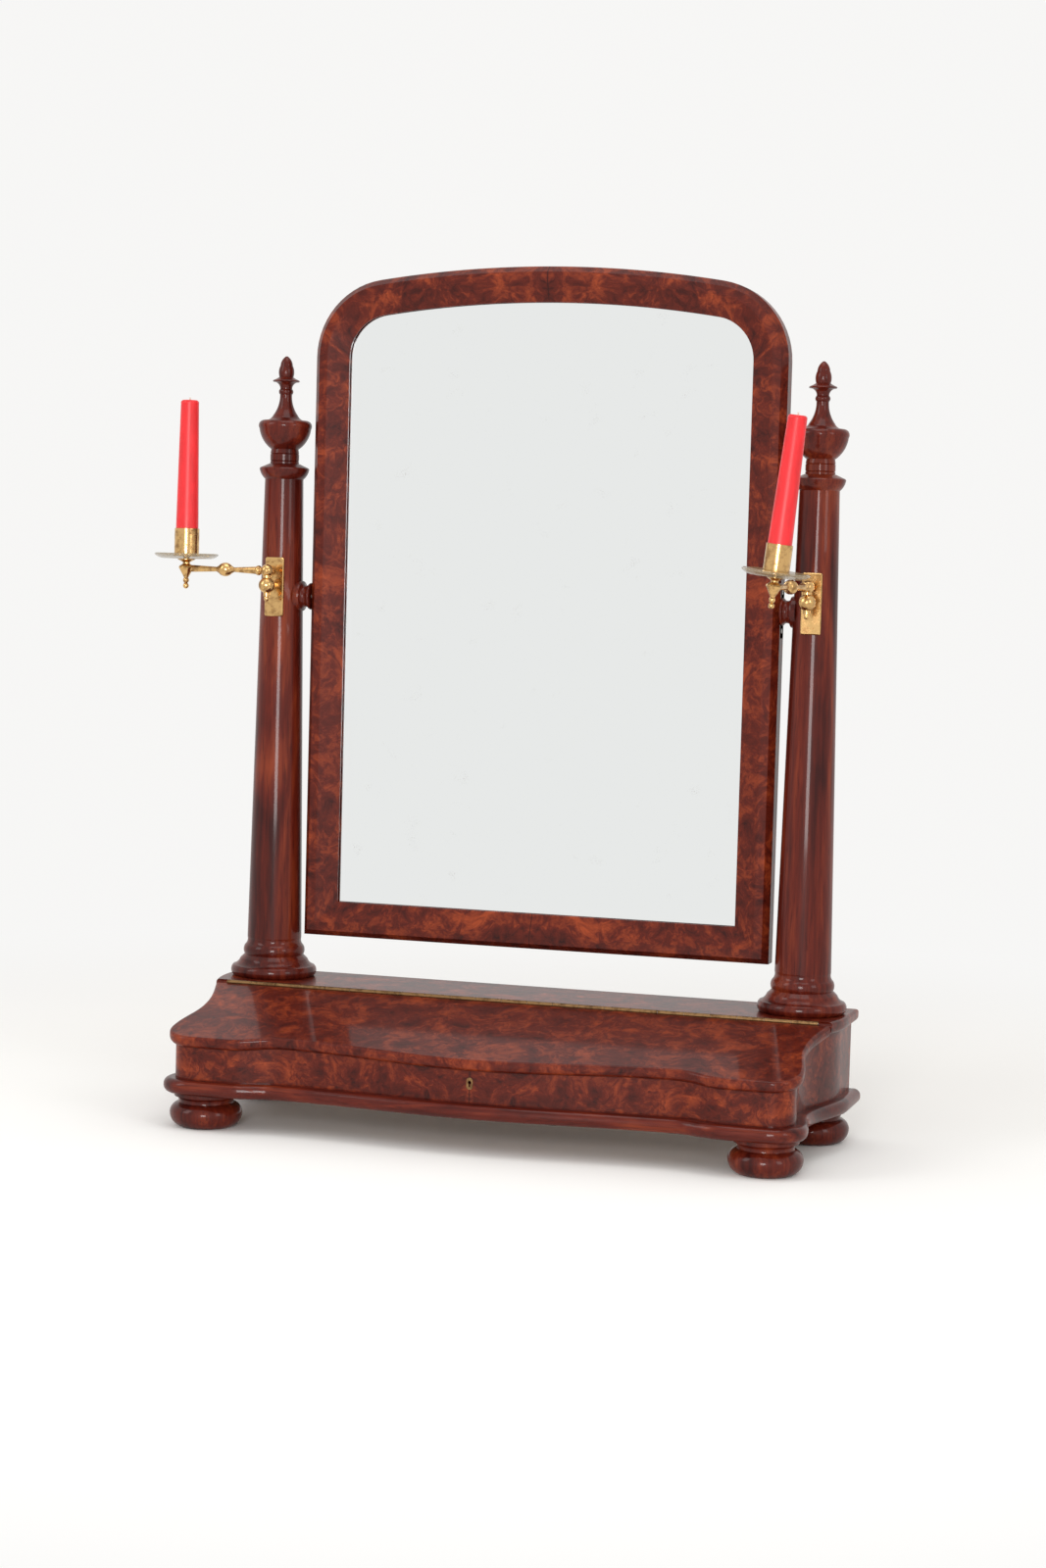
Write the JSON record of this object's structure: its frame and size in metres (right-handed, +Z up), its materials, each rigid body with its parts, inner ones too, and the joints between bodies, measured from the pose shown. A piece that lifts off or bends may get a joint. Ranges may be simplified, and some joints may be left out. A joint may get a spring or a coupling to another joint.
{
  "type": "dressing mirror",
  "caption": "Table dressing mirror: arched swing mirror between turned columns with swinging candle arms, on a serpentine box with a sloping lid and bun feet.",
  "frame": {"origin": "on the floor, below the middle of the box", "axes": "+X to the object's right seen from the front, +Y to the back, +Z up"},
  "size_m": [0.696, 0.245, 0.8155],
  "materials": {
    "polished_wood": "French polished, reddish brown",
    "plain_wood": "planed, unpolished",
    "brass": "polished",
    "steel": "plain turned",
    "mirror_glass": "silvered",
    "clear_glass": "clear",
    "red_wax": "smooth wax",
    "wick": "waxed cotton",
    "lining": "cloth"
  },
  "bodies": {
    "base": {"bottom_board": "plain_wood", "box_screws": "brass", "carcass_back": "plain_wood", "carcass_front": "polished_wood", "carcass_left": "polished_wood", "carcass_right": "polished_wood", "column_blocks": "plain_wood", "column_left": "polished_wood", "column_right": "polished_wood", "compartment_lining": "lining", "dowels": "plain_wood", "escutcheon": "brass", "finial_left": "polished_wood", "finial_right": "polished_wood", "foot_back_left": "polished_wood", "foot_back_right": "polished_wood", "foot_front_left": "polished_wood", "foot_front_right": "polished_wood", "hinge_leaf_board": "brass", "hinge_pin": "steel", "lock_case": "brass", "moulding_front": "polished_wood", "moulding_left": "polished_wood", "moulding_right": "polished_wood", "partition": "plain_wood", "pivot_boss_left": "polished_wood", "pivot_boss_right": "polished_wood", "pivot_pins": "steel", "plate_screws": "brass", "rear_board": "polished_wood", "sconce_plate_left": "brass", "sconce_plate_right": "brass"},
    "lid": {"lid": "polished_wood", "lid_screws": "brass", "strike_plate": "brass", "hinge_leaf_lid": "brass"},
    "mirror": {"bottom_rail": "polished_wood", "stile_left": "polished_wood", "stile_right": "polished_wood", "arch_left": "polished_wood", "arch_right": "polished_wood", "arch_crown": "polished_wood", "mirror_glass": "mirror_glass", "glass_packing": "plain_wood", "backboard": "plain_wood", "mirror_screws": "steel", "pivot_plates": "brass"},
    "left_arm": {"arm_left": "brass", "swing_pin_left": "brass", "drip_pan_left": "clear_glass", "candle_socket_left": "brass", "candle_left": "red_wax", "wick_left": "wick"},
    "right_arm": {"arm_right": "brass", "swing_pin_right": "brass", "drip_pan_right": "clear_glass", "candle_socket_right": "brass", "candle_right": "red_wax", "wick_right": "wick"},
    "bolt": {"lock_bolt": "brass"}
  },
  "joints": [
    {"name": "lid_hinge", "type": "hinge", "parent": "base", "child": "lid", "pos_m": [0, 0.0195, 0.121], "axis": [-1, 0, 0], "range_deg": [0, 108]},
    {"name": "mirror_tilt", "type": "hinge", "parent": "base", "child": "mirror", "pos_m": [0, 0.0735, 0.497], "axis": [1, 0, 0], "range_deg": [-30, 30]},
    {"name": "left_arm_swing", "type": "hinge", "parent": "base", "child": "left_arm", "pos_m": [-0.265, 0.03258, 0.521], "axis": [0, 0, -1], "range_deg": [-135, 35]},
    {"name": "right_arm_swing", "type": "hinge", "parent": "base", "child": "right_arm", "pos_m": [0.265, 0.03258, 0.521], "axis": [0, 0, 1], "range_deg": [-35, 134]},
    {"name": "bolt_throw", "type": "slide", "parent": "base", "child": "bolt", "axis": [0, 0, 1], "range_m": [0, 0.006]}
  ]
}
